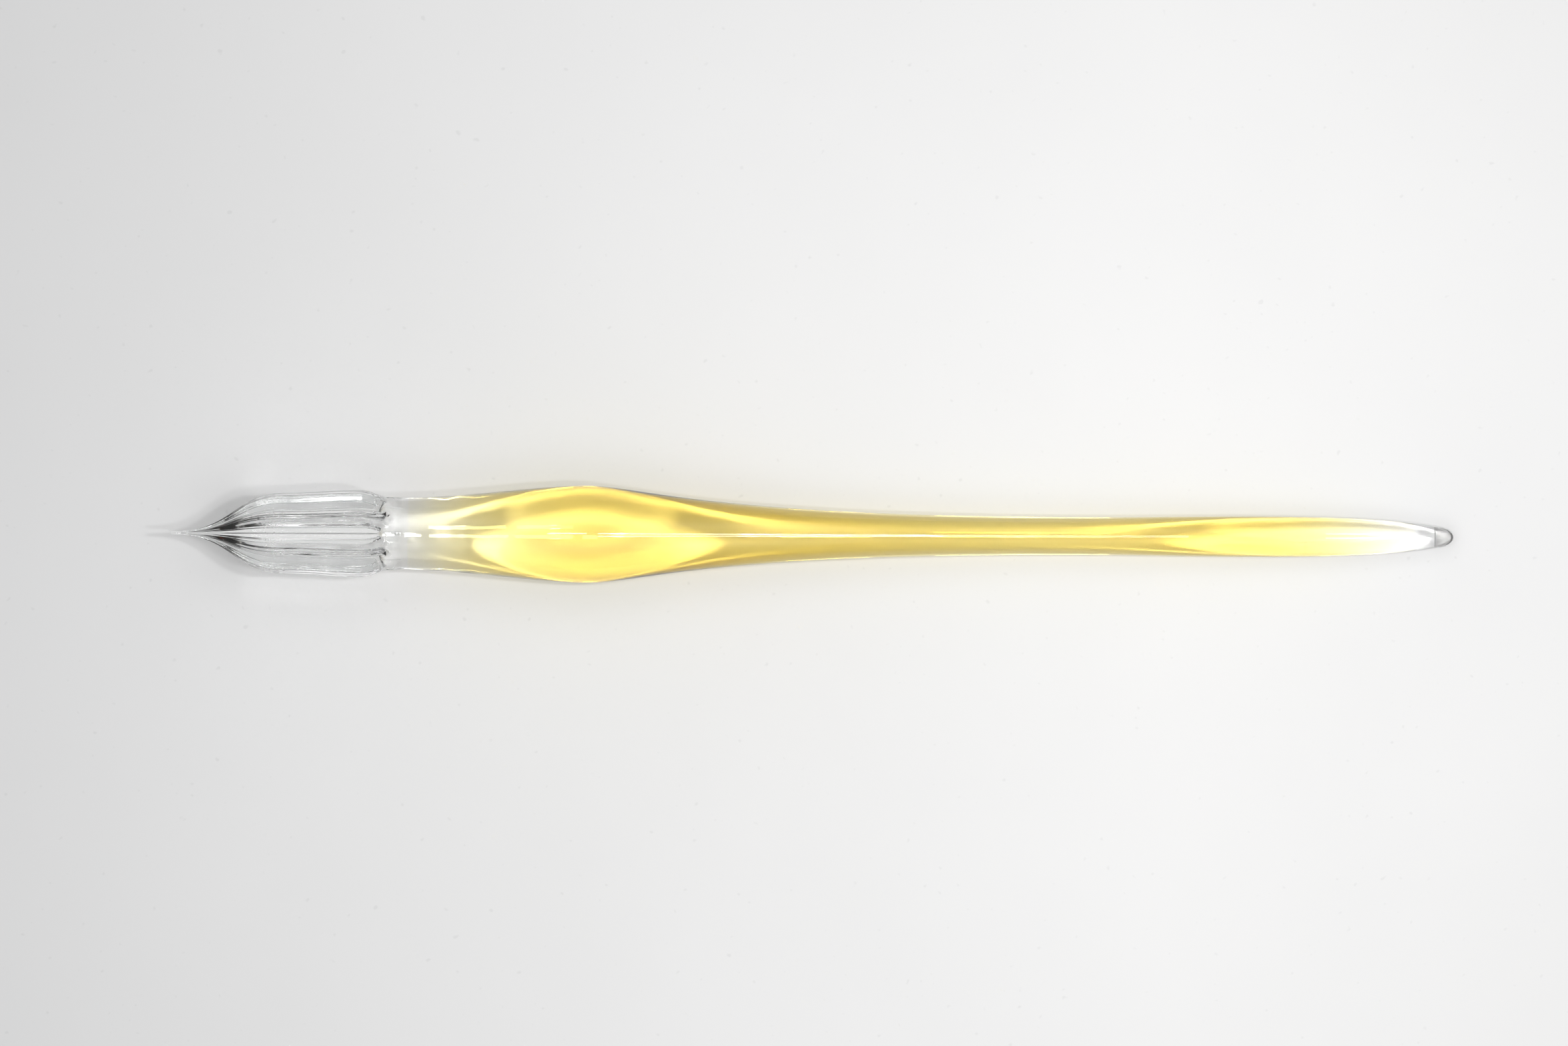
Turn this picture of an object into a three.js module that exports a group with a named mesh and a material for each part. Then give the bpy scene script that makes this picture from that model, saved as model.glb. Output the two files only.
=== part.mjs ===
// A glass dip pen lying on a table: a fluted nib of clear ribs fused round a core that is drawn out to the
// writing point, a clear collar, a handle of clear glass cased over a yellow core, and a clear rounded tail.
// Millimetres, +Z up. The pen lies along X with its point at -X, resting on the swell of its grip and near
// its tail, so its axis leans and the nib is clear of the table.

import * as THREE from 'three';
import { mergeVertices } from 'three/addons/utils/BufferGeometryUtils.js';

// Nib: lengths along the pen, and radii out to the crests of the ribs.
const POINT_R = 0.2;
const DRAWN_LENGTH = 16;
const DRAWN_R = 6;
const FLUTED_LENGTH = 10.5;
const FLUTED_R = 6.44;
const RIB_TIP_LENGTH = 3.6;
const RIB_TIP_R = 5.3;
const RIB_COUNT = 8;
const RIB_WIDTH = 1.6;
const RIB_START = 4;

// Collar: the clear glass between the ends of the ribs and the ring where the handle is fused on.
const COLLAR_LENGTH = 1.9;
const COLLAR_R = 5.2;
const COLLAR_EDGE = 0.25;

// Handle: it swells for the fingers, thins to a rod, fills out a little and narrows to the tail.
const WAIST_R = 5.05;
const GRIP_LENGTH = 25.5;
const SWELL_R = 6.86;
const SHOULDER_LENGTH = 69.5;
const ROD_R = 2.67;
const ROD_LENGTH = 24;
const REAR_R = 2.86;
const REAR_LENGTH = 26.2;
const TAIL_R = 1.54;
const BEAD_LENGTH = 2.7;

// Yellow core of the handle: it grows from a small nose at the collar and runs out before the tail.
const NOSE_R = 0.7;
const NOSE_LENGTH = 22;
const CASING_WALL = 0.75;
const RUNOUT_LENGTH = 30;
const RUNOUT_R = 0.25;
const CORE_END = 4;

// The pieces are fused on the real pen. Here this clearance keeps them apart as separate solids.
const FUSE_GAP = 0.1;
const BORE_GAP = 0.2;

// Fineness of the faceted surfaces.
const SIDES = 28;
const CREST_STEPS = 6;

// Places along the pen, from its point.
const fluteStart = DRAWN_LENGTH;
const ribTipStart = fluteStart + FLUTED_LENGTH;
const ribEnd = ribTipStart + RIB_TIP_LENGTH;
const collarStart = ribEnd + FUSE_GAP;
const collarEnd = collarStart + COLLAR_LENGTH;
const handleStart = collarEnd + FUSE_GAP;
const swellAt = handleStart + GRIP_LENGTH;
const rodStart = swellAt + SHOULDER_LENGTH;
const rodEnd = rodStart + ROD_LENGTH;
const handleEnd = rodEnd + REAR_LENGTH;
const beadStart = handleEnd + FUSE_GAP;
const penEnd = beadStart + BEAD_LENGTH;

const clearGlass = { color: 0xe6ecec, roughness: 0.04, metalness: 0, transparent: true, opacity: 0.35 };
const yellowGlass = { color: 0xf4d648, roughness: 0.04, metalness: 0, transparent: true, opacity: 0.6 };

// Adds a smooth span to an outline, a list of (place, radius) points. It leaves and arrives level, and leave
// and arrive say over what share of the span it keeps close to each end's radius.
function ease(outline, place, radius, leave, arrive, steps) {
	const from = outline.at(-1);
	const span = place - from.x;
	const curve = new THREE.CubicBezierCurve(from, new THREE.Vector2(from.x + leave * span, from.y),
		new THREE.Vector2(place - arrive * span, radius), new THREE.Vector2(place, radius));
	outline.push(...curve.getPoints(steps).slice(1));
}

// The radius of an outline at a place along the pen.
function radiusAt(outline, place) {
	const next = outline.findIndex((point) => point.x >= place);
	if (next < 1) return outline.at(next).y;
	const [a, b] = [outline[next - 1], outline[next]];
	return THREE.MathUtils.mapLinear(place, a.x, b.x, a.y, b.y);
}

// Crests of the nib's ribs, from the point to the ends of the ribs.
const crest = [new THREE.Vector2(0, POINT_R)];
ease(crest, fluteStart, DRAWN_R, 0.54, 0.46, 12);
ease(crest, ribTipStart, FLUTED_R, 0.4, 0.4, 3);
ease(crest, ribEnd, RIB_TIP_R, 0.35, 0.1, 6);

// Outside of the handle, from the collar's ring to the tail.
const handle = [new THREE.Vector2(handleStart, WAIST_R)];
ease(handle, swellAt, SWELL_R, 0.325, 0.25, 11);
ease(handle, rodStart, ROD_R, 0.125, 0.775, 16);
ease(handle, rodEnd, REAR_R, 0.4, 0.4, 4);
ease(handle, handleEnd, TAIL_R, 0.8, 0.01, 10);

// A solid of revolution about the pen's axis. The profile's points are (place, radius), and it starts and
// ends on the axis. Its facets lie flat side down.
function turned(profile, sides = SIDES) {
	const points = profile.map((point) => new THREE.Vector2(point.y, point.x));
	const geometry = new THREE.LatheGeometry(points, sides, Math.PI / sides, 2 * Math.PI);
	geometry.rotateZ(-Math.PI / 2);
	return closed(geometry);
}

// Only positions matter: shared corners are merged, and the faces that this leaves without area are dropped.
function closed(geometry) {
	geometry.deleteAttribute('normal');
	geometry.deleteAttribute('uv');
	const merged = mergeVertices(geometry, 1e-5);
	const index = [];
	for (let i = 0; i < merged.index.count; i += 3) {
		const face = [merged.index.getX(i), merged.index.getX(i + 1), merged.index.getX(i + 2)];
		if (new Set(face).size === 3) index.push(...face);
	}
	merged.setIndex(index);
	merged.computeVertexNormals();
	return merged;
}

// A solid through a row of convex sections that have the same number of corners, closed at both ends.
function lofted(sections) {
	const corners = sections[0].length;
	const index = [];
	for (let i = 0; i < sections.length - 1; i++) {
		for (let j = 0; j < corners; j++) {
			const [a, b] = [i * corners + j, i * corners + ((j + 1) % corners)];
			index.push(a, a + corners, b, b, a + corners, b + corners);
		}
	}
	const last = (sections.length - 1) * corners;
	for (let j = 1; j < corners - 1; j++) {
		index.push(0, j, j + 1);
		index.push(last, last + j + 1, last + j);
	}
	const geometry = new THREE.BufferGeometry().setFromPoints(sections.flat());
	geometry.setIndex(index);
	geometry.computeVertexNormals();
	return geometry;
}

const pen = new THREE.Group();

function addPiece(name, geometry, glass) {
	const mesh = new THREE.Mesh(geometry, new THREE.MeshStandardMaterial(glass));
	mesh.name = name;
	pen.add(mesh);
	return mesh;
}

// Radius of the nib's core. At the point the core is the whole pen, and it narrows under the ribs until
// their roots just meet on it.
const ribAngle = (2 * Math.PI) / RIB_COUNT;
const coreShare = RIB_WIDTH / 2 / Math.tan(ribAngle / 2) / FLUTED_R;
function nibCoreRadius(place) {
	const share = THREE.MathUtils.lerp(1, coreShare, THREE.MathUtils.smoothstep(place, RIB_START / 2, DRAWN_LENGTH));
	return share * radiusAt(crest, place);
}

function makeNibCore() {
	const profile = [new THREE.Vector2(-POINT_R, 0), new THREE.Vector2(-0.7 * POINT_R, 0.7 * POINT_R)];
	for (const { x } of crest) profile.push(new THREE.Vector2(x, nibCoreRadius(x)));
	profile.push(new THREE.Vector2(ribEnd, 0));
	return turned(profile, 2 * RIB_COUNT);
}

// One rib: a finger with a rounded crest that stands on the core, thin at the point, and rounded off at the
// end where it meets the collar.
function makeRib() {
	const sections = [];
	const places = crest.map(({ x }) => x).filter((x) => x > RIB_START);
	for (const place of [RIB_START, ...places]) {
		const outer = radiusAt(crest, place);
		const scale = outer / FLUTED_R;
		const root = nibCoreRadius(place) + FUSE_GAP * scale;
		const ending = THREE.MathUtils.smoothstep(place, ribTipStart, ribEnd);
		const halfWidth = (root * Math.tan(ribAngle / 2) - 0.5 * FUSE_GAP * scale) * (1 - 0.3 * ending);
		const rise = Math.min(halfWidth, (outer - root) * 0.8);
		const section = [new THREE.Vector3(place, -halfWidth, root)];
		for (let i = 0; i <= CREST_STEPS; i++) {
			const angle = Math.PI * (i / CREST_STEPS - 0.5);
			section.push(new THREE.Vector3(place, halfWidth * Math.sin(angle), outer - rise + rise * Math.cos(angle)));
		}
		section.push(new THREE.Vector3(place, halfWidth, root));
		sections.push(section);
	}
	return lofted(sections);
}

function makeCollar() {
	return turned([
		new THREE.Vector2(collarStart, 0),
		new THREE.Vector2(collarStart, COLLAR_R - COLLAR_EDGE),
		new THREE.Vector2(collarStart + 0.3 * COLLAR_EDGE, COLLAR_R - 0.3 * COLLAR_EDGE),
		new THREE.Vector2(collarStart + COLLAR_EDGE, COLLAR_R),
		new THREE.Vector2(collarEnd - COLLAR_EDGE, WAIST_R),
		new THREE.Vector2(collarEnd, WAIST_R - COLLAR_EDGE / 2),
		new THREE.Vector2(collarEnd, 0),
	]);
}

// Radius of the yellow core at a place along the handle: as large as the casing's wall allows, growing from
// the nose and running out towards the tail.
const coreEnd = handleEnd - CORE_END;
function yellowRadius(place) {
	const inside = radiusAt(handle, place) - CASING_WALL;
	const nose = Math.sin((Math.PI / 2) * Math.min(1, (place - handleStart) / NOSE_LENGTH));
	const runout = Math.sin((Math.PI / 2) * Math.min(1, (coreEnd - place) / RUNOUT_LENGTH));
	const grown = THREE.MathUtils.lerp(NOSE_R, inside, nose);
	return THREE.MathUtils.lerp(RUNOUT_R, grown, runout);
}

const yellowPlaces = handle.map(({ x }) => x).filter((x) => x < coreEnd - 1);

function makeYellowCore() {
	const profile = [new THREE.Vector2(handleStart, 0)];
	for (const x of yellowPlaces) profile.push(new THREE.Vector2(x, yellowRadius(x)));
	profile.push(new THREE.Vector2(coreEnd, RUNOUT_R), new THREE.Vector2(coreEnd, 0));
	return turned(profile);
}

// The casing's bore follows the core and is open at the collar.
function makeCasing() {
	const bore = yellowPlaces.map((x) => new THREE.Vector2(x, yellowRadius(x) + BORE_GAP)).reverse();
	return turned([
		new THREE.Vector2(coreEnd + BORE_GAP, 0),
		new THREE.Vector2(coreEnd + BORE_GAP, RUNOUT_R + BORE_GAP),
		...bore,
		...handle,
		new THREE.Vector2(handleEnd, 0),
	]);
}

function makeBead() {
	const dome = new THREE.Path().moveTo(beadStart, TAIL_R);
	dome.bezierCurveTo(beadStart + 0.62 * BEAD_LENGTH, 0.92 * TAIL_R, penEnd, 0.5 * TAIL_R, penEnd, 0);
	return turned([new THREE.Vector2(beadStart, 0), ...dome.getPoints(8)]);
}

addPiece('nib_core', makeNibCore(), clearGlass);
for (let i = 0; i < RIB_COUNT; i++) {
	const rib = addPiece(`nib_rib_${i + 1}`, makeRib(), clearGlass);
	rib.rotation.x = (i + 0.5) * ribAngle;
}
addPiece('nib_collar', makeCollar(), clearGlass);
addPiece('handle_core', makeYellowCore(), yellowGlass);
addPiece('handle_casing', makeCasing(), clearGlass);
addPiece('tail_bead', makeBead(), clearGlass);

// The pen rests on two rings of its handle, one each side of its balance point: the pair whose joining line
// stands out furthest there. It leans by the slope of that line.
function restingSlope() {
	const weight = handle.map(({ y }) => y * y);
	const steps = handle.map(({ x }, i) => (handle[i + 1]?.x ?? x) - (handle[i - 1]?.x ?? x));
	const total = weight.reduce((sum, w, i) => sum + w * steps[i], 0);
	const balance = handle.reduce((sum, { x }, i) => sum + x * weight[i] * steps[i], 0) / total;
	let best = { reach: 0, slope: 0 };
	for (const a of handle.filter(({ x }) => x < balance)) {
		for (const b of handle.filter(({ x }) => x > balance)) {
			const slope = (a.y - b.y) / (b.x - a.x);
			const reach = a.y - slope * (balance - a.x);
			if (reach > best.reach) best = { reach, slope };
		}
	}
	return best.slope * Math.cos(Math.PI / SIDES);
}

pen.rotation.y = Math.atan(restingSlope());
pen.updateMatrixWorld(true);
const box = new THREE.Box3().setFromObject(pen, true);
pen.position.set(-(box.min.x + box.max.x) / 2, 0, -box.min.z);

export default pen;
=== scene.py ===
"""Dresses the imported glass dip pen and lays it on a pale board.

The pen has a fluted clear nib, a clear collar, a handle of clear glass cased over a yellow layer, and a clear
tail bead. Its own measures are millimetres along its axis from the writing point, sideways and upwards. They
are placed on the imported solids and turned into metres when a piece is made.
"""

import logging
import math
from dataclasses import dataclass
from enum import Enum
from typing import Sequence

import bmesh
import bpy
import numpy as np
from mathutils import Matrix, Vector


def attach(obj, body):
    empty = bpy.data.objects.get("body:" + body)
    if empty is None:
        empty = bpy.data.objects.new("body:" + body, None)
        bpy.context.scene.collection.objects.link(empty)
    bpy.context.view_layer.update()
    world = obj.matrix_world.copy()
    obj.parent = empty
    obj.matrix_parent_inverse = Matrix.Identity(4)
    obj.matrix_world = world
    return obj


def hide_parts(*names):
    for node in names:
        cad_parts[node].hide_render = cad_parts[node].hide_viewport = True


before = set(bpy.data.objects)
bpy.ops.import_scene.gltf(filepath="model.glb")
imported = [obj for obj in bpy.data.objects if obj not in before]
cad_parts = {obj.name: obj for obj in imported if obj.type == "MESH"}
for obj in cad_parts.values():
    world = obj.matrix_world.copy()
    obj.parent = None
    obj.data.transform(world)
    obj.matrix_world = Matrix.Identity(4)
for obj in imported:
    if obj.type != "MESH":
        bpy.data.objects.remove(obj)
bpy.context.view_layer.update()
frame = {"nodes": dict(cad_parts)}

MM = 0.001
PHOTO_WIDTH, PHOTO_HEIGHT = 2350, 1568
ROOT = "root"
# Faces that meet at more than this angle keep a sharp edge.
SHARP_DEGREES = 38
# Corners that agree to this many digits of a metre are one corner.
POINT_DIGITS = 7
LOG = logging.getLogger("glass_pen")


class Slot(Enum):
    """The record's material slots."""

    CLEAR = "clear_glass"
    YELLOW = "yellow_glass"


class Face(Enum):
    """What a face of a piece is: its outside, or a face that is fused to the next piece of glass."""

    SKIN = 0
    FUSED = 1


class Blend(Enum):
    """How a second colour goes onto a first one."""

    MIX = "MIX"
    MULTIPLY = "MULTIPLY"


def ramp(value: float | np.ndarray, low: float, high: float) -> float | np.ndarray:
    """Rises smoothly from 0 to 1.

    Args:
        value: where to read it.
        low: where it leaves 0.
        high: where it reaches 1.

    Returns:
        A number from 0 to 1, or an array of them.
    """
    share = np.clip((value - low) / (high - low), 0, 1)
    return share * share * (3 - 2 * share)


def blend_max(a: np.ndarray, b: float, width: float) -> np.ndarray:
    """The larger of two radii, rounded where they cross.

    Args:
        a: radii of one surface.
        b: the other surface's radius.
        width: how far apart the two are when the rounding starts.

    Returns:
        The rounded radii.
    """
    near = np.clip(1 - np.abs(a - b) / width, 0, 1)
    return np.maximum(a, b) + near * near * width / 4


def curve(corners: np.ndarray, count: int) -> np.ndarray:
    """Points along a cubic curve.

    Args:
        corners: its two ends, with the two corners that it is drawn towards between them.
        count: how many points there are.

    Returns:
        The points, from the first end to the last.
    """
    t = np.linspace(0, 1, count)
    return np.stack([(1 - t) ** 3, 3 * (1 - t) ** 2 * t, 3 * (1 - t) * t * t, t**3], axis=1) @ corners


@dataclass(frozen=True)
class Window:
    """A part of the pen where marks show.

    They rise from nothing between the places in rise and fall back to nothing between those in fall. share is
    how strong they are in between.
    """

    rise: tuple[float, float]
    fall: tuple[float, float]
    share: float = 1.0

    def at(self, place: float) -> float:
        """How strong the marks are at a place along the pen."""
        return self.share * ramp(place, *self.rise) * (1 - ramp(place, *self.fall))


@dataclass(frozen=True)
class Stretch:
    """A smooth stretch of an outline, level at both ends.

    place and radius are where it ends. leave and arrive are the shares of it that keep close to the radius at
    each end.
    """

    place: float
    radius: float
    leave: float
    arrive: float


class Outline:
    """A radius that changes smoothly along the pen."""

    STEPS = 400

    def __init__(self, place: float, radius: float, *stretches: Stretch) -> None:
        """Lays the stretches end to end.

        Args:
            place: where the outline starts.
            radius: its radius there.
            stretches: the stretches in order.
        """
        rows = []
        for part in stretches:
            span = part.place - place
            near, far = place + part.leave * span, part.place - part.arrive * span
            corners = [(place, radius), (near, radius), (far, part.radius), (part.place, part.radius)]
            rows.append(curve(np.array(corners), self.STEPS))
            place, radius = part.place, part.radius
        self.places, self.radii = np.concatenate(rows).T

    def at(self, place: float | np.ndarray) -> float | np.ndarray:
        """The radius at a place along the pen."""
        return np.interp(place, self.places, self.radii)


def stations(*runs: tuple[float, float, float]) -> np.ndarray:
    """Places along the pen where a mesh has a ring.

    Args:
        runs: for each run its start, its end and about how far apart its rings are.

    Returns:
        The places, in order.
    """
    parts = [np.linspace(start, end, max(2, round((end - start) / step) + 1)) for start, end, step in runs]
    return np.unique(np.round(np.concatenate(parts), 6))


class PenAxis:
    """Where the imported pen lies: its point, the way along it and the way up from it."""

    def __init__(self, nodes: dict[str, bpy.types.Object], point_radius: float) -> None:
        """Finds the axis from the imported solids.

        Args:
            nodes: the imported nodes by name.
            point_radius: radius of the rounded writing point, which ends that far before place 0.
        """
        front, back = self.middle(nodes["nib_collar"]), self.middle(nodes["tail_bead"])
        self.along = (back - front).normalized()
        self.side = Vector((0, 1, 0))
        self.up = self.along.cross(self.side)
        tip = min(v.co.dot(self.along) for v in nodes["nib_core"].data.vertices) + point_radius * MM
        self.point = front + (tip - front.dot(self.along)) * self.along
        self.lean = math.atan2(-self.along.z, self.along.x)

    @staticmethod
    def middle(node: bpy.types.Object) -> Vector:
        """The middle of a turned solid's corners, which is on its axis."""
        corners = {tuple(round(c, POINT_DIGITS) for c in v.co) for v in node.data.vertices}
        return Vector(np.mean(sorted(corners), axis=0))

    def place(self, points: np.ndarray) -> np.ndarray:
        """Turns (along, sideways, up) in millimetres into places in the frame, in metres."""
        axes = np.array([self.along, self.side, self.up])
        return np.array(self.point) + (points * MM) @ axes


class Blank:
    """The glass of one piece, gathered as rows of points and the faces between them."""

    def __init__(self) -> None:
        """Starts with no glass."""
        self.points: list[np.ndarray] = []
        self.faces: list[tuple[int, ...]] = []
        self.kinds: list[Face] = []

    def row(self, points: np.ndarray) -> np.ndarray:
        """Adds a row of points and returns their numbers."""
        start = sum(len(p) for p in self.points)
        self.points.append(points)
        return np.arange(start, start + len(points))

    def skin(self, rows: Sequence[np.ndarray], around: bool = True, kind: Face = Face.SKIN) -> None:
        """Joins neighbouring rows with faces.

        Args:
            rows: rows of point numbers, all of the same length.
            around: whether each row closes on itself.
            kind: what the faces are.
        """
        count = len(rows[0])
        for a, b in zip(rows[:-1], rows[1:]):
            for j in range(count if around else count - 1):
                k = (j + 1) % count
                self.faces.append((a[j], b[j], b[k], a[k]))
                self.kinds.append(kind)

    def cap(self, row: np.ndarray, kind: Face = Face.FUSED) -> None:
        """Closes a row with one flat face."""
        self.faces.append(tuple(row))
        self.kinds.append(kind)

    def make(self, name: str, axis: PenAxis, glass: bpy.types.Material,
             joint: bpy.types.Material) -> bpy.types.Object:
        """Makes the piece's object.

        Args:
            name: its name.
            axis: where the pen lies.
            glass: the finish of its skin.
            joint: the finish of its fused faces.

        Returns:
            The object, closed, smooth and linked to the scene.
        """
        mesh = bpy.data.meshes.new(name)
        mesh.from_pydata(axis.place(np.concatenate(self.points)).tolist(), [], self.faces)
        mesh.materials.append(glass)
        if Face.FUSED in self.kinds:
            mesh.materials.append(joint)
            mesh.polygons.foreach_set("material_index", [kind.value for kind in self.kinds])
        shape = bmesh.new()
        shape.from_mesh(mesh)
        bmesh.ops.remove_doubles(shape, verts=shape.verts, dist=10**-POINT_DIGITS)
        bmesh.ops.recalc_face_normals(shape, faces=shape.faces)
        for face in shape.faces:
            face.smooth = True
        shape.to_mesh(mesh)
        shape.free()
        mesh.set_sharp_from_angle(angle=math.radians(SHARP_DEGREES))
        made = bpy.data.objects.new(name, mesh)
        bpy.context.scene.collection.objects.link(made)
        return made


def round_row(place: float, radius: float, sides: int) -> np.ndarray:
    """A ring of points about the pen's axis."""
    turn = np.arange(sides) * 2 * math.pi / sides
    return np.stack([np.full(sides, place), radius * np.sin(turn), radius * np.cos(turn)], axis=1)


class Recipe:
    """The node tree of a material, added to node by node."""

    # The numbers of the Mix node's sockets for colours, which share their names with those for other values.
    FIRST_COLOUR, SECOND_COLOUR, MIXED_COLOUR = 6, 7, 2

    def __init__(self, name: str) -> None:
        """Starts a material with its output alone."""
        self.material = bpy.data.materials.new(name)
        self.material.use_nodes = True
        self.tree = self.material.node_tree
        self.tree.nodes.clear()
        self.output = self.tree.nodes.new("ShaderNodeOutputMaterial")

    def add(self, kind: str, inputs: dict[str | int, object] | None = None,
            **settings: object) -> bpy.types.Node:
        """Adds a node.

        Args:
            kind: the node's type after ShaderNode.
            inputs: values for its sockets, or other nodes' sockets to link to them, by name or number.
            settings: its other properties.

        Returns:
            The node.
        """
        node = self.tree.nodes.new("ShaderNode" + kind)
        for key, value in settings.items():
            setattr(node, key, value)
        for key, value in (inputs or {}).items():
            if isinstance(value, bpy.types.NodeSocket):
                self.tree.links.new(value, node.inputs[key])
            else:
                node.inputs[key].default_value = value
        return node

    def mix(self, share: bpy.types.NodeSocket, first: object, second: object,
            way: Blend = Blend.MIX) -> bpy.types.NodeSocket:
        """Mixes two colours.

        Args:
            share: the socket that gives the second one's share.
            first: a colour or a socket that gives one.
            second: the same for the second one.
            way: how the second goes onto the first.

        Returns:
            The socket of the mixed colour.
        """
        node = self.add("Mix", {"Factor": share}, data_type="RGBA", blend_type=way.value)
        for place, colour in ((self.FIRST_COLOUR, first), (self.SECOND_COLOUR, second)):
            if isinstance(colour, bpy.types.NodeSocket):
                self.tree.links.new(colour, node.inputs[place])
            else:
                node.inputs[place].default_value = (*colour, 1)
        return node.outputs[self.MIXED_COLOUR]

    def drawn(self, lean: float, along: float, across: float) -> bpy.types.NodeSocket:
        """Coordinates stretched along the pen, as glass is when it is drawn.

        Args:
            lean: the pen's lean, in radians.
            along: cells per metre along the pen.
            across: cells per metre across it.

        Returns:
            The socket that gives them.
        """
        place = self.add("TexCoord").outputs["Object"]
        level = self.add("Mapping", {"Vector": place, "Rotation": (0, -lean, 0)}).outputs[0]
        return self.add("Mapping", {"Vector": level, "Scale": (along, across, across)}).outputs[0]


@dataclass(frozen=True)
class ClearGlass:
    """Clear glass that was worked in a flame.

    ior is its refraction. streak_length and streak_width are the size of the streaks that drawing leaves in
    its surface, in millimetres, and streak_depth their depth. Its faint clouds are cloud_shorter times
    shorter and cloud_wider times wider than the streaks. smear is the roughness that fingers left, which
    comes up where the clouds rise between the two values of smeared. clarity is how much light one of its
    faces lets through, and tint the colour of its densest cloud. Where they are set dark, as on the bead,
    they are painted shade that greys the glass.
    """

    name: str
    ior: float = 1.56
    streak_length: float = 30.0
    streak_width: float = 0.6
    streak_depth: float = 0.004
    smear: float = 0.02
    smeared: tuple[float, float] = (0.45, 0.8)
    cloud_shorter: float = 4.0
    cloud_wider: float = 8.0
    clarity: float = 1.0
    tint: tuple[float, float, float] = (0.975, 0.985, 0.98)

    def material(self, lean: float) -> bpy.types.Material:
        """Makes the material.

        Args:
            lean: the pen's lean, in radians, which the streaks follow.

        Returns:
            The material.
        """
        recipe = Recipe(self.name)
        along, across = 1 / (self.streak_length * MM), 1 / (self.streak_width * MM)
        fine = recipe.drawn(lean, along, across)
        streaks = recipe.add("TexNoise", {"Vector": fine, "Scale": 1.0, "Detail": 3.0})
        surface = recipe.add("Bump", {"Height": streaks.outputs["Fac"], "Strength": 1.0,
                                      "Distance": self.streak_depth * MM})
        broad = recipe.drawn(lean, along * self.cloud_shorter, across / self.cloud_wider)
        cloud = recipe.add("TexNoise", {"Vector": broad, "Scale": 1.0, "Detail": 2.0})
        smear = recipe.add("MapRange", {"Value": cloud.outputs["Fac"], "From Min": self.smeared[0],
                                        "From Max": self.smeared[1], "To Min": 0.0, "To Max": self.smear})
        tint = recipe.mix(cloud.outputs["Fac"], (self.clarity,) * 3, self.tint)
        glass = recipe.add("BsdfPrincipled", {
            "Base Color": tint, "Roughness": smear.outputs[0], "Normal": surface.outputs[0],
            "IOR": self.ior, "Transmission Weight": 1.0,
        })
        recipe.tree.links.new(glass.outputs[0], recipe.output.inputs["Surface"])
        return recipe.material


@dataclass(frozen=True)
class YellowGlass:
    """A layer of yellow glass inside clear glass, so light isn't bent at its faces.

    taken is how much red, green and blue it takes, per millimetre. streak is the colour of its densest
    streaks, and streaks how many of them there are in a metre along the pen and across it. headroom keeps
    every part of the colour above black.
    """

    name: str
    taken: tuple[float, float, float] = (0.003, 0.036, 0.22)
    streak: tuple[float, float, float] = (1.0, 0.985, 0.93)
    streaks: tuple[float, float] = (25.0, 1400.0)
    headroom: float = 1.05

    def material(self, lean: float) -> bpy.types.Material:
        """Makes the material.

        Args:
            lean: the pen's lean, in radians, which the streaks follow.

        Returns:
            The material.
        """
        recipe = Recipe(self.name)
        place = recipe.drawn(lean, *self.streaks)
        streaks = recipe.add("TexNoise", {"Vector": place, "Scale": 1.0, "Detail": 2.0})
        colour = recipe.mix(streaks.outputs["Fac"], (1, 1, 1), self.streak)
        glass = recipe.add("BsdfPrincipled", {
            "Base Color": colour, "Roughness": 0.0, "IOR": 1.0, "Transmission Weight": 1.0,
        })
        density = max(self.taken) / MM * self.headroom
        depth = recipe.add("VolumeAbsorption", {
            "Color": (*(1 - part / MM / density for part in self.taken), 1), "Density": density,
        })
        recipe.tree.links.new(glass.outputs[0], recipe.output.inputs["Surface"])
        recipe.tree.links.new(depth.outputs[0], recipe.output.inputs["Volume"])
        return recipe.material


def fused_joint() -> bpy.types.Material:
    """A face where two pieces of the same glass have melted together, which nothing shows of."""
    recipe = Recipe("fused_joint")
    clear = recipe.add("BsdfTransparent", {"Color": (1, 1, 1, 1)})
    recipe.tree.links.new(clear.outputs[0], recipe.output.inputs["Surface"])
    return recipe.material


@dataclass(frozen=True)
class SeedyWeld:
    """A weld that holds fine bubbles, which a glassworker calls seeds.

    seeds is how many there are in a metre. They show where their pattern rises between the two values of
    shown, milk is the least and the most of the light that they scatter, and white is their colour.
    """

    name: str
    seeds: float = 2500.0
    shown: tuple[float, float] = (0.3, 0.7)
    milk: tuple[float, float] = (0.35, 0.75)
    white: tuple[float, float, float, float] = (0.9, 0.9, 0.9, 1.0)

    def material(self) -> bpy.types.Material:
        """Makes the material."""
        recipe = Recipe(self.name)
        place = recipe.add("TexCoord").outputs["Object"]
        seeds = recipe.add("TexNoise", {"Vector": place, "Scale": self.seeds, "Detail": 1.0}).outputs["Fac"]
        share = recipe.add("MapRange", {"Value": seeds, "From Min": self.shown[0], "From Max": self.shown[1],
                                        "To Min": self.milk[0], "To Max": self.milk[1]}).outputs[0]
        clear = recipe.add("BsdfTransparent", {"Color": (1, 1, 1, 1)})
        back = recipe.add("BsdfDiffuse", {"Color": self.white})
        through = recipe.add("BsdfTranslucent", {"Color": self.white})
        milk = recipe.add("MixShader", {0: 0.5, 1: back.outputs[0], 2: through.outputs[0]})
        weld = recipe.add("MixShader", {0: share, 1: clear.outputs[0], 2: milk.outputs[0]})
        recipe.tree.links.new(weld.outputs[0], recipe.output.inputs["Surface"])
        return recipe.material


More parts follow.
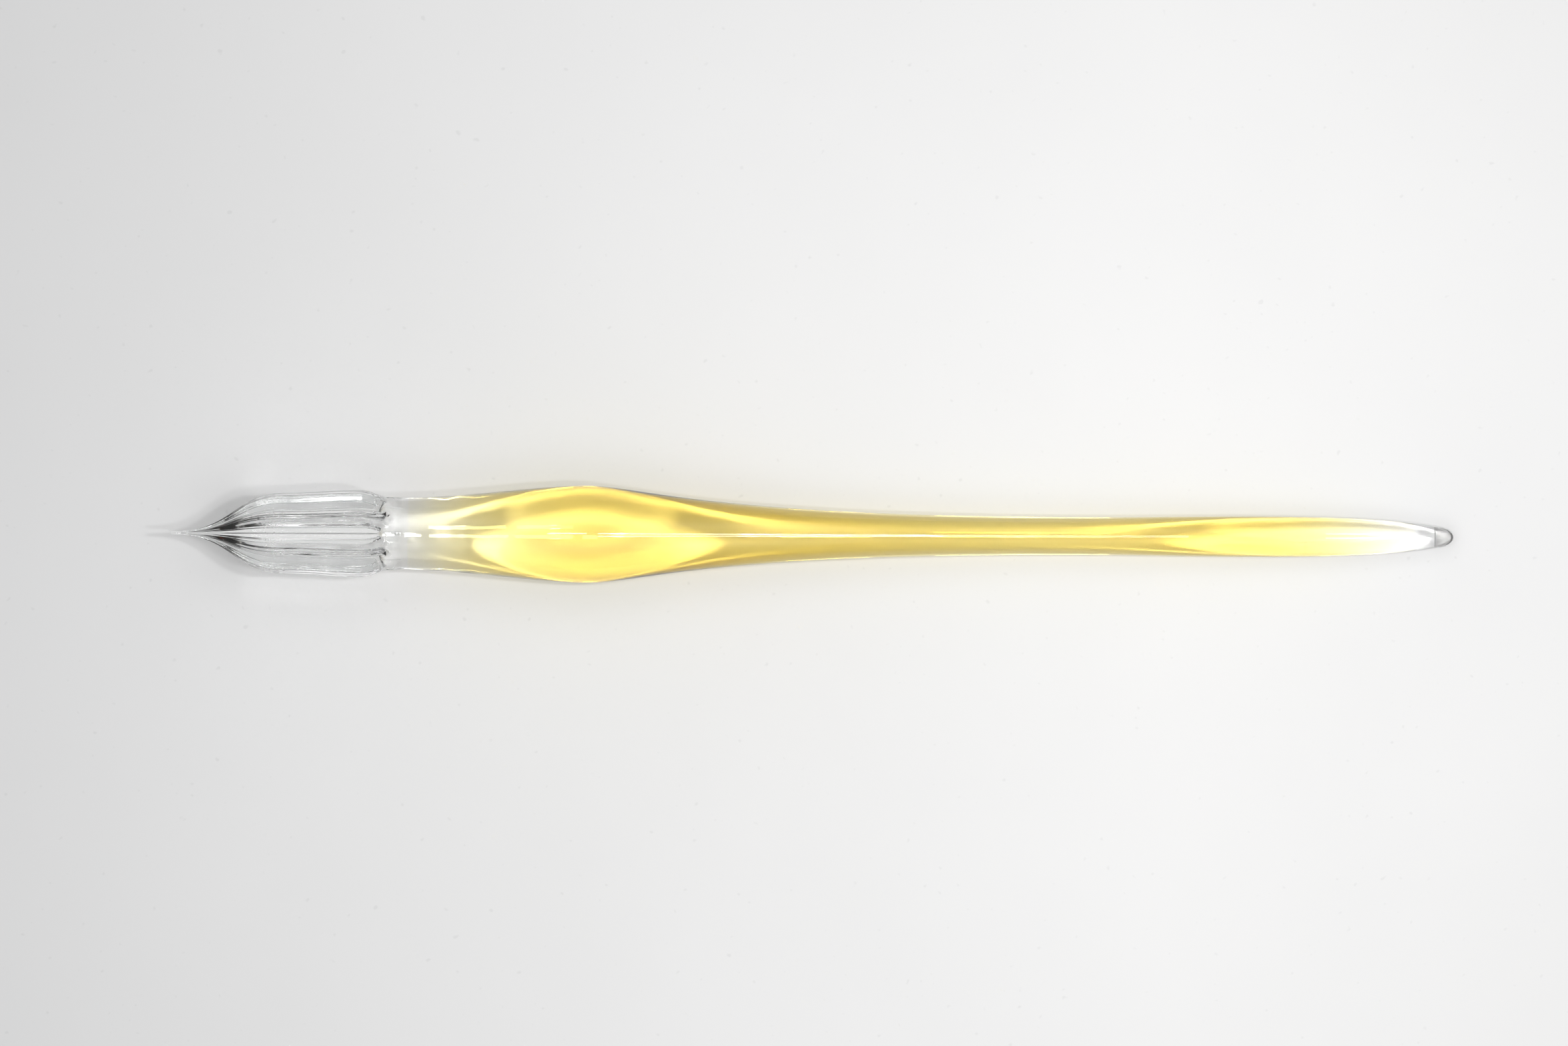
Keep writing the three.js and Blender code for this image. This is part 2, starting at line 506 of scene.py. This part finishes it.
@dataclass
class Nib:
    """The fluted nib: a core drawn out to the writing point, and the ribs fused round it.

    The crests of the ribs follow one outline, and a rib's width and the rounding of its grooves scale with
    it. The grooves open out of the drawn point over grooves_open, and the collar's glass fills their ends. A
    window is where marks show, a pitch how far apart they are, and line_sway how far the fine lines wander.
    """

    axis: PenAxis
    glass: bpy.types.Material
    joint: bpy.types.Material
    point_radius: float = 0.2
    drawn_length: float = 16.0
    drawn_radius: float = 6.0
    fluted_end: float = 26.5
    fluted_radius: float = 6.44
    rib_end: float = 30.15
    rib_end_radius: float = 5.3
    rib_count: int = 8
    rib_width: float = 2.9
    rib_start: float = 2.0
    crest_stop: float = 0.05
    grooves_open: tuple[float, float] = (0.3, 3.2)
    groove_round: float = 0.1
    lobe_width: float = 3.1
    lobe_start: float = 26.9
    lobe_level: float = 0.3
    neck_start: float = 28.5
    neck_full: float = 30.0
    neck_radius: float = 5.15
    neck_lip: float = 0.4
    line_slope: float = 0.11
    line_spread: tuple[float, float] = (1.1, 2.1)
    line_pitches: tuple[float, ...] = (0.55, 0.72, 0.95, 1.3, 1.9)
    line_window: Window = Window((2.0, 5.0), (27.0, 29.6))
    line_sway: float = 0.5
    line_sway_length: float = 5.0
    ripple_depth: float = 0.015
    ripple_pitches: tuple[float, float] = (0.62, 0.41)
    ripple_windows: tuple[Window, Window] = (Window((12.6, 13.6), (15.2, 16.2)),
                                             Window((27.0, 27.8), (28.8, 29.6), 0.7))
    groove_margin: float = 0.5
    least_step: float = 1e-9
    point_steps: int = 6
    head_steps: int = 16
    side_steps: int = 34
    groove_steps: int = 4
    seed: int = 40

    def __post_init__(self) -> None:
        """Lays out the crests of the ribs, from the point to where they end."""
        self.crest = Outline(
            0, self.point_radius,
            Stretch(self.drawn_length, self.drawn_radius, 0.54, 0.46),
            Stretch(self.fluted_end, self.fluted_radius, 0.4, 0.4),
            Stretch(self.rib_end - self.crest_stop, self.rib_end_radius, 0.35, 0.1),
        )
        self.half_angle = math.pi / self.rib_count

    def half_width(self, place: float) -> float:
        """Half of a rib's width, which scales with the crest and swells into a lobe at the rib's end."""
        even = self.rib_width / 2 * self.crest.at(place) / self.fluted_radius
        lobe = ramp(place, self.lobe_start, self.rib_end - self.lobe_level)
        return even + (self.lobe_width / 2 - even) * lobe

    def neck_at(self, place: float) -> float:
        """Radius of the collar's glass that fills the ends of the grooves."""
        if place <= self.neck_start:
            return 0.0
        back = max(0.0, (self.neck_full - place) / (self.neck_full - self.neck_start))
        return self.neck_radius * math.sqrt(max(0.0, 1 - back * back))

    def section(self, place: float) -> np.ndarray:
        """One rib cut across.

        Args:
            place: where along the pen.

        Returns:
            Points (sideways, outwards) from the groove on one side, over the crest, to that on the other.
        """
        crest, width = self.crest.at(place), self.half_width(place)
        bend = self.groove_round * crest / self.fluted_radius
        low = (width + bend) / math.tan(self.half_angle)
        turn = np.linspace(0, math.pi / 2, self.head_steps + 1)
        head = np.stack([width * np.sin(turn), crest - width + width * np.cos(turn)], axis=1)
        fall = np.linspace(max(crest - width, low), low, self.side_steps + 1)[1:]
        side = np.stack([np.full(len(fall), width), fall], axis=1)
        turn = math.pi + np.linspace(0, math.pi / 2 - self.half_angle, self.groove_steps + 1)[1:]
        groove = np.stack([width + bend + bend * np.cos(turn), low + bend * np.sin(turn)], axis=1)
        half = np.concatenate([head, side, groove])
        radius, angle = np.hypot(*half.T), np.arctan2(*half.T)
        radius = blend_max(radius, self.neck_at(place), self.neck_lip)
        radius = crest + (radius - crest) * ramp(place, *self.grooves_open)
        half = np.stack([radius * np.sin(angle), radius * np.cos(angle)], axis=1)
        return np.concatenate([half[::-1], half[1:] * (-1, 1)])

    def root(self, place: float) -> np.ndarray:
        """The two corners of a rib's flat foot on the core, in the order of its section."""
        crest, width = self.crest.at(place), self.half_width(place)
        bend = self.groove_round * crest / self.fluted_radius
        corner = width / math.sin(self.half_angle) + bend * (1 / math.sin(self.half_angle) - 1)
        corner = crest + (corner - crest) * ramp(place, *self.grooves_open)
        across, out = corner * math.sin(self.half_angle), corner * math.cos(self.half_angle)
        return np.array([[across, out], [-across, out]])

    def turned(self, place: float, points: np.ndarray, rib: int) -> np.ndarray:
        """Sets a rib's points round the axis.

        Args:
            place: where along the pen.
            points: (sideways, outwards).
            rib: the rib's number, from 0.

        Returns:
            The points in the pen's measures.
        """
        turn = (rib + 0.5) * 2 * self.half_angle
        side, out = points.T
        return np.stack([np.full(len(points), place), side * math.cos(turn) - out * math.sin(turn),
                         side * math.sin(turn) + out * math.cos(turn)], axis=1)

    def ring(self, place: float, points: np.ndarray) -> np.ndarray:
        """The same points on every rib, as one ring about the axis."""
        return np.concatenate([self.turned(place, points[:-1], rib) for rib in range(self.rib_count)])

    def rippled(self, place: float, points: np.ndarray, phase: np.ndarray) -> np.ndarray:
        """A section with the marks of its making.

        Fine lines run along the rib, as drawing leaves them. Short ripples cross it where the glass starts to
        narrow and at the rib's end, where the tool held it.

        Args:
            place: where along the pen.
            points: (sideways, outwards).
            phase: numbers that make this rib's marks its own.

        Returns:
            The points, moved in or out a little away from the grooves.
        """
        scale = self.crest.at(place) / self.fluted_radius
        step = np.gradient(points, axis=0)
        apart = np.maximum(np.hypot(*step.T), self.least_step)
        outwards = np.stack([-step[:, 1], step[:, 0]], axis=1) / apart[:, None]
        run = np.concatenate([[0], np.cumsum(np.hypot(*np.diff(points, axis=0).T))]) / scale
        inner = ramp(np.minimum(run, run[-1] - run), 0, self.groove_margin)
        run = run - run[-1] / 2
        height = np.zeros(len(points))
        for number, pitch in enumerate(self.line_pitches):
            sway = self.line_sway * math.sin(place / self.line_sway_length + phase[-1 - number])
            drift = phase[number] + sway
            height += pitch / (2 * math.pi) * self.line_slope * np.sin(2 * math.pi * run / pitch + drift)
        height *= 1 - ramp(np.abs(run), *self.line_spread)
        height *= scale * self.line_window.at(place)
        turns = [2 * math.pi * place / pitch for pitch in self.ripple_pitches]
        wave = math.sin(turns[0] + phase[0]) + math.sin(turns[1] + phase[1])
        shown = sum(window.at(place) for window in self.ripple_windows)
        height += self.ripple_depth * shown * wave * np.cos(2 * run + phase[2])
        return points - outwards * (height * inner)[:, None]

    def build(self) -> list[bpy.types.Object]:
        """Makes the core and the ribs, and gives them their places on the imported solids."""
        return [self.core(), *(self.rib(number) for number in range(self.rib_count))]

    def core(self) -> bpy.types.Object:
        """The core: all of the pen at its point, and the middle of the nib under the ribs."""
        blank = Blank()
        skin = []
        for turn in np.linspace(0, math.pi / 2, self.point_steps + 1)[:-1]:
            place, share = -self.point_radius * math.cos(turn), math.sin(turn)
            skin.append(blank.row(self.ring(place, self.section(0.0) * share)))
        for place in stations((0, self.rib_start, 0.1)):
            skin.append(blank.row(self.ring(place, self.section(place))))
        blank.skin(skin)
        per_rib = len(skin[-1]) // self.rib_count
        inside = [blank.row(self.ring(place, self.root(place)))
                  for place in stations((self.rib_start, self.rib_end, 1.0))]
        for rib in range(self.rib_count):
            other = (rib + 1) % self.rib_count
            edge = np.append(skin[-1][rib * per_rib:(rib + 1) * per_rib], skin[-1][other * per_rib])
            blank.cap(np.append(edge, [inside[0][other], inside[0][rib]]))
        blank.skin(inside, kind=Face.FUSED)
        blank.cap(inside[-1])
        made = blank.make("nib_core_glass", self.axis, self.glass, self.joint)
        return settled(made, Slot.CLEAR, "nib_core")

    def rib(self, number: int) -> bpy.types.Object:
        """One rib.

        Args:
            number: its number round the core, from 0.

        Returns:
            The rib's object.
        """
        phase = np.random.default_rng(self.seed + number).uniform(0, 2 * math.pi, 2 * len(self.line_pitches))
        blank = Blank()
        skin, foot = [], []
        for place in stations((self.rib_start, 12.6, 0.4), (12.6, 16.2, 0.08), (16.2, 26.4, 0.7),
                              (26.4, 28.0, 0.15), (28.0, self.rib_end, 0.08)):
            points = self.rippled(place, self.section(place), phase)
            skin.append(blank.row(self.turned(place, points, number)))
            foot.append(blank.row(self.turned(place, self.root(place), number)))
        blank.skin(skin, around=False)
        blank.skin(foot, around=False, kind=Face.FUSED)
        for edge in (0, -1):
            blank.skin([np.array([row[edge], base[edge]]) for row, base in zip(skin, foot)],
                       around=False, kind=Face.FUSED)
            blank.cap(np.append(skin[edge], foot[edge][::-1]))
        made = blank.make(f"nib_rib_{number + 1}_glass", self.axis, self.glass, self.joint)
        return settled(made, Slot.CLEAR, f"nib_rib_{number + 1}")


def settled(piece: bpy.types.Object, slot: Slot, *nodes: str) -> bpy.types.Object:
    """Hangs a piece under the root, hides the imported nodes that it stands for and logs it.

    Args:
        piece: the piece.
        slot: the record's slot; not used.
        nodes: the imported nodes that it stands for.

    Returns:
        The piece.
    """
    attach(piece, ROOT)
    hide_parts(*nodes)
    LOG.info("%s: %d faces, for %s", piece.name, len(piece.data.polygons), ", ".join(nodes))
    return piece


@dataclass
class Collar:
    """The clear collar, which the ends of the ribs run into and the handle is welded to.

    It turns from the ribs' outline into a round over rounding, and its weld dips a little over weld_width.
    Its rings are closest over the length fine.
    """

    axis: PenAxis
    nib: Nib
    glass: bpy.types.Material
    joint: bpy.types.Material
    end: float = 32.15
    radius: float = 5.17
    end_radius: float = 5.05
    rounding: float = 1.1
    fine: float = 1.2
    weld_width: float = 0.4
    weld_dip: float = 0.015

    def build(self) -> bpy.types.Object:
        """Makes the collar, whose first ring is the ribs' last one."""
        start = self.nib.rib_end
        middle, weld = start + self.fine, self.end - self.weld_width
        first = self.nib.section(start)
        length, angle = np.hypot(*first.T), np.arctan2(*first.T)
        blank = Blank()
        rows = []
        for place in stations((start, middle, 0.1), (middle, weld, 0.2), (weld, self.end, 0.08)):
            share = ramp(place, start, start + self.rounding)
            even = self.radius + (self.end_radius - self.radius) * ramp(place, start, self.end)
            even -= self.weld_dip * ramp(place, weld, self.end)
            radius = length + (even - length) * share
            points = np.stack([radius * np.sin(angle), radius * np.cos(angle)], axis=1)
            rows.append(blank.row(self.nib.ring(place, points)))
        blank.skin(rows)
        blank.cap(rows[0])
        blank.cap(rows[-1])
        made = blank.make("nib_collar_glass", self.axis, self.glass, self.joint)
        return settled(made, Slot.CLEAR, "nib_collar")


@dataclass
class Handle:
    """The handle: clear glass that swells for the fingers and thins to a rod, with a yellow layer inside it.

    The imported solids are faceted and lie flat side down, so round glass of the same height is slimmer, by
    flats. Two waves, a long one and a short one, leave slight lumps in the glass near the weld. The yellow
    layer lies casing_wall under the outside, has its full thickness in the grip from layer_full on, and
    leaves at least a hollow of clear glass in the middle.
    """

    axis: PenAxis
    clear: bpy.types.Material
    yellow: bpy.types.Material
    joint: bpy.types.Material
    start: float = 32.15
    waist_radius: float = 5.05
    swell_at: float = 57.7
    swell_radius: float = 6.86
    rod_start: float = 127.2
    rod_radius: float = 2.67
    rod_end: float = 151.2
    rear_radius: float = 2.86
    end: float = 177.45
    tail_radius: float = 1.54
    weld_width: float = 0.4
    weld_dip: float = 0.015
    lump: float = 0.022
    lump_window: Window = Window((32.15, 34.15), (37.0, 50.0))
    long_wave: float = 1.3
    long_twist: float = 4.0
    short_wave: float = 0.7
    short_share: float = 0.6
    flats: float = math.cos(math.pi / 28)
    casing_wall: float = 0.45
    layer_start: float = 33.0
    layer_full: float = 58.0
    layer_end: float = 174.5
    layer_grip: float = 1.75
    layer_rod: float = 2.15
    hollow: float = 0.05
    sides: int = 112

    def __post_init__(self) -> None:
        """Lays out the outside and the thickness of the yellow layer."""
        self.outside = Outline(
            self.start, self.waist_radius * self.flats,
            Stretch(self.swell_at, self.swell_radius * self.flats, 0.325, 0.25),
            Stretch(self.rod_start, self.rod_radius * self.flats, 0.125, 0.775),
            Stretch(self.rod_end, self.rear_radius * self.flats, 0.4, 0.4),
            Stretch(self.end, self.tail_radius * self.flats, 0.8, 0.01),
        )
        self.layer = Outline(
            self.layer_start, 0.0,
            Stretch(self.layer_full, self.layer_grip, 0.1, 0.5),
            Stretch(self.rod_start, self.layer_rod, 0.4, 0.4),
            Stretch(self.layer_end, 0.0, 0.55, 0.15),
        )

    def build(self) -> list[bpy.types.Object]:
        """Makes the casing and the yellow layer."""
        return [self.casing(), self.yellow_layer()]

    def lumps(self, place: float) -> np.ndarray:
        """How much the lumps add to the radius at each point of a ring."""
        turn = np.arange(self.sides) * 2 * math.pi / self.sides
        along, twist = place / self.long_wave, place / self.long_twist
        long = np.sin(along + np.cos(turn + 0.7)) * np.cos(2 * turn + twist)
        short = np.sin(place / self.short_wave + 2 * np.sin(turn)) * np.cos(3 * turn - 1)
        return self.lump * self.lump_window.at(place) * (long + self.short_share * short)

    def casing(self) -> bpy.types.Object:
        """The clear glass of the handle, with a fine dip where it is welded to the collar."""
        blank = Blank()
        rows = []
        weld = self.start + self.weld_width
        for place in stations((self.start, weld, 0.08), (weld, 52, 0.25), (52, 76, 0.7), (76, 150, 1.2),
                              (150, 170, 0.8), (170, self.end, 0.35)):
            dip = self.weld_dip * (1 - ramp(place, self.start, weld))
            ring = round_row(place, 1.0, self.sides)
            ring[:, 1:] *= (self.outside.at(place) - dip + self.lumps(place))[:, None]
            rows.append(blank.row(ring))
        blank.skin(rows)
        blank.cap(rows[0])
        blank.cap(rows[-1])
        made = blank.make("handle_casing_glass", self.axis, self.clear, self.joint)
        return settled(made, Slot.CLEAR, "handle_casing")

    def yellow_layer(self) -> bpy.types.Object:
        """The yellow glass: a layer round a clear middle, which thins to nothing at the neck and the tail."""
        blank = Blank()
        outer, inner = [], []
        for place in stations((self.layer_start, 60, 0.5), (60, 150, 1.5), (150, self.layer_end, 0.7)):
            radius = self.outside.at(place) - self.casing_wall
            outer.append(blank.row(round_row(place, radius, self.sides)))
            inside = max(radius - self.layer.at(place), self.hollow)
            inner.append(blank.row(round_row(place, inside, self.sides)))
        blank.skin([*outer, *inner[::-1], outer[0]])
        made = blank.make("handle_core_glass", self.axis, self.yellow, self.joint)
        return settled(made, Slot.YELLOW, "handle_core")


@dataclass
class Tail:
    """The clear bead that rounds off the end of the rod.

    corners shapes its dome, in shares of its length and its radius.
    """

    axis: PenAxis
    glass: bpy.types.Material
    joint: bpy.types.Material
    start: float = 177.45
    length: float = 2.75
    radius: float = 1.53
    corners: tuple[tuple[float, float], ...] = ((0.0, 1.0), (0.62, 0.92), (1.0, 0.5), (1.0, 0.0))
    rings: int = 28
    sides: int = 96

    def build(self) -> bpy.types.Object:
        """Makes the bead, a dome that leaves the rod smoothly."""
        blank = Blank()
        dome = curve(np.array(self.corners) * (self.length, self.radius), self.rings)
        rows = [blank.row(round_row(self.start + along, radius, self.sides)) for along, radius in dome]
        blank.skin(rows)
        blank.cap(rows[0])
        made = blank.make("tail_bead_glass", self.axis, self.glass, self.joint)
        return settled(made, Slot.CLEAR, "tail_bead")


@dataclass(frozen=True)
class Marks:
    """Faint marks in paint.

    scale is how many there are in a metre, and detail and rough are how fine and how uneven they are. They
    show where their pattern rises between the two values of shown, and take depth, a share of the light.
    """

    scale: float
    detail: float
    rough: float
    shown: tuple[float, float]
    depth: float


@dataclass
class Board:
    """The pale board that the pen lies on, which isn't part of it.

    It is size metres across and lies a hair, gap millimetres, below the pen's lowest point, so that the glass
    doesn't dip into it. Its colour goes from paint at -X to a lighter colour at +X between the two places of
    turn, in metres along the pen; this is painted light, with painted shade at the -X end. Its marks are soft
    mottling and specks of dust.
    """

    size: float = 3.0
    gap: float = 0.02
    # The paint at -X is darkened as painted shade; the lighter colour after it, at +X, is painted light.
    paint: tuple[float, float, float] = (0.815, 0.816, 0.818)
    painted_light_colour: tuple[float, float, float] = (0.985, 0.984, 0.982)
    # Where the painted light runs from the darker paint to the lighter colour, in metres along X.
    turn: tuple[float, float] = (-0.12, 0.05)
    roughness: float = 0.7
    shine: float = 0.2
    marks: tuple[Marks, ...] = (
        Marks(9.0, 6.0, 0.6, (0.35, 0.65), 0.03),
        Marks(800.0, 1.0, 0.5, (0.72, 0.8), 0.07),
    )

    def build(self) -> bpy.types.Object:
        """Makes the board with its painted finish."""
        mesh = bpy.data.meshes.new("board")
        half, low = self.size / 2, -self.gap * MM
        corners = [(-half, -half, low), (half, -half, low), (half, half, low), (-half, half, low)]
        mesh.from_pydata(corners, [], [(0, 1, 2, 3)])
        mesh.materials.append(self.material())
        made = bpy.data.objects.new("board", mesh)
        bpy.context.scene.collection.objects.link(made)
        return made

    def material(self) -> bpy.types.Material:
        """Pale paint, faintly mottled and dusty, and lighter towards +X as painted light."""
        recipe = Recipe("board_paint_and_painted_light")
        place = recipe.add("TexCoord").outputs["Object"]
        along = recipe.add("SeparateXYZ", {"Vector": place}).outputs["X"]
        # Painted light: the colour grows lighter from -X to +X, as if more light fell towards +X.
        share = recipe.add("MapRange", {"Value": along, "From Min": self.turn[0], "From Max": self.turn[1]})
        colour = recipe.mix(share.outputs[0], self.paint, self.painted_light_colour)
        for marks in self.marks:
            pattern = recipe.add("TexNoise", {"Vector": place, "Scale": marks.scale, "Detail": marks.detail,
                                              "Roughness": marks.rough})
            share = recipe.add("MapRange", {"Value": pattern.outputs["Fac"], "From Min": marks.shown[0],
                                            "From Max": marks.shown[1]})
            colour = recipe.mix(share.outputs[0], colour, (1 - marks.depth,) * 3, Blend.MULTIPLY)
        paint = recipe.add("BsdfPrincipled", {"Base Color": colour, "Roughness": self.roughness,
                                              "Specular IOR Level": self.shine})
        recipe.tree.links.new(paint.outputs[0], recipe.output.inputs["Surface"])
        return recipe.material


@dataclass(frozen=True)
class Lamp:
    """A soft oblong lamp over the board.

    toward is how far it stands to +X and +Y for each metre of height, height how high it stands, size its
    length along the pen and its width, all in metres, and power its watts.
    """

    name: str
    toward: tuple[float, float]
    height: float
    size: tuple[float, float]
    power: float

    def build(self) -> bpy.types.Object:
        """Makes the lamp, aimed at the middle of the pen."""
        light = bpy.data.lights.new(self.name, "AREA")
        light.shape, light.energy = "RECTANGLE", self.power
        light.size, light.size_y = self.size
        lamp = bpy.data.objects.new(self.name, light)
        lamp.location = Vector((*self.toward, 1)) * self.height
        back = Vector((*self.toward, 1)).normalized()
        across = back.cross(Vector((1, 0, 0))).normalized()
        lamp.rotation_euler = Matrix((across.cross(back), across, back)).transposed().to_euler()
        bpy.context.scene.collection.objects.link(lamp)
        return lamp


LAMPS = (
    Lamp("tube_key", (0.187, 0.035), 0.3, (0.077, 0.012), 0.050),
    Lamp("tube_fill", (0.187, -0.085), 0.3, (0.077, 0.012), 0.040),
    Lamp("bulb_key", (0.187, 0.035), 0.3, (0.018, 0.014), 0.120),
    Lamp("bulb_fill", (0.187, -0.085), 0.3, (0.018, 0.014), 0.080),
    Lamp("neck_key", (-0.15, 0.035), 0.3, (0.060, 0.012), 0.045),
)


@dataclass(frozen=True)
class Viewpoint:
    """The camera, straight above the pen. The pixels are where the photograph shows the pen's two ends."""

    height: float = 0.65
    point_pixel: tuple[float, float] = (257.0, 798.5)
    tail_pixel: tuple[float, float] = (2178.0, 805.5)

    def build(self, axis: PenAxis, length: float) -> bpy.types.Object:
        """Makes the camera.

        Args:
            axis: where the pen lies.
            length: the pen's length, in millimetres.

        Returns:
            The camera.
        """
        point, tail = (Vector(p) for p in axis.place(np.array([[0.0, 0, 0], [length, 0, 0]])))
        left, right = self.point_pixel[0] - PHOTO_WIDTH / 2, self.tail_pixel[0] - PHOTO_WIDTH / 2
        near, far = self.height - point.z, self.height - tail.z
        focal = (right * far - left * near) / (tail.x - point.x)
        below = (self.point_pixel[1] + self.tail_pixel[1]) / 2 - PHOTO_HEIGHT / 2
        turn = math.atan2(self.tail_pixel[1] - self.point_pixel[1], right - left)
        data = bpy.data.cameras.new("overhead")
        data.sensor_width = 36.0
        data.lens = focal * data.sensor_width / PHOTO_WIDTH
        camera = bpy.data.objects.new("overhead", data)
        camera.location = (point.x - left * near / focal, below * (near + far) / 2 / focal, self.height)
        camera.rotation_euler = (0, 0, turn)
        bpy.context.scene.collection.objects.link(camera)
        bpy.context.scene.camera = camera
        return camera


@dataclass(frozen=True)
class Room:
    """The room, and how light may pass the glass.

    The room is brightest where its windows are, between the walls and the ceiling. windows is how bright
    that is. heights has pairs of height, as the sine of the angle above the board, and of brightness, as a
    share of the windows'. passes is how many times light may be bent or reflected. brightest limits one ray
    of it and blur softens its reflections. 0 leaves both out, so that the glass can gather light.
    """

    windows: float = 1.1
    heights: tuple[tuple[float, float], ...] = ((0.0, 0.42), (0.6, 0.35), (0.84, 1.0), (1.0, 0.2))
    passes: int = 24
    brightest: float = 0.0
    blur: float = 0.0

    def build(self) -> None:
        """Sets the world, the colours and the light paths."""
        scene = bpy.context.scene
        scene.view_settings.view_transform = "Standard"
        scene.cycles.max_bounces = self.passes
        scene.cycles.transmission_bounces = self.passes
        scene.cycles.transparent_max_bounces = 2 * self.passes
        scene.cycles.sample_clamp_indirect = self.brightest
        scene.cycles.blur_glossy = self.blur
        world = bpy.data.worlds.new("room")
        world.use_nodes = True
        tree = world.node_tree
        way = tree.nodes.new("ShaderNodeTexCoord").outputs["Generated"]
        parts = tree.nodes.new("ShaderNodeSeparateXYZ")
        rise = tree.nodes.new("ShaderNodeValToRGB")
        rise.color_ramp.interpolation = "EASE"
        while len(rise.color_ramp.elements) < len(self.heights):
            rise.color_ramp.elements.new(0.5)
        for mark, (height, share) in zip(rise.color_ramp.elements, self.heights):
            mark.position, mark.color = height, (share, share, share, 1)
        tree.links.new(way, parts.inputs[0])
        tree.links.new(parts.outputs["Z"], rise.inputs["Fac"])
        tree.links.new(rise.outputs["Color"], tree.nodes["Background"].inputs["Color"])
        tree.nodes["Background"].inputs["Strength"].default_value = self.windows
        scene.world = world


def main() -> None:
    """Builds the pen's pieces in order, then the board, the lamps and the camera."""
    logging.basicConfig(level=logging.INFO, format="%(name)s: %(message)s")
    axis = PenAxis(frame["nodes"], Nib.point_radius)
    joint = fused_joint()
    fluted = ClearGlass("nib_glass", streak_length=12.0, streak_width=0.35, streak_depth=0.002)
    blown = ClearGlass("collar_glass", streak_length=1.5, streak_width=1.2, streak_depth=0.003)
    drawn = ClearGlass("handle_glass", streak_depth=0.0015)
    # The bead's low clarity and grey tint are painted shade, greying the dome as its inner reflections do.
    polished_with_painted_shade = ClearGlass("bead_glass_with_painted_shade", streak_length=2.0, streak_width=0.8, streak_depth=0.002, clarity=0.8,
                          tint=(0.84, 0.84, 0.83))
    yellow = YellowGlass("yellow_glass")
    nib = Nib(axis, fluted.material(axis.lean), joint)
    nib.build()
    Collar(axis, nib, blown.material(axis.lean), joint).build()
    Handle(axis, drawn.material(axis.lean), yellow.material(axis.lean), joint).build()
    tail = Tail(axis, polished_with_painted_shade.material(axis.lean), SeedyWeld("bead_weld").material())
    tail.build()
    Board().build()
    for lamp in LAMPS:
        lamp.build()
    Viewpoint().build(axis, tail.start + tail.length)
    Room().build()
    LOG.info("sizes written")


if __name__ == "__main__":
    main()
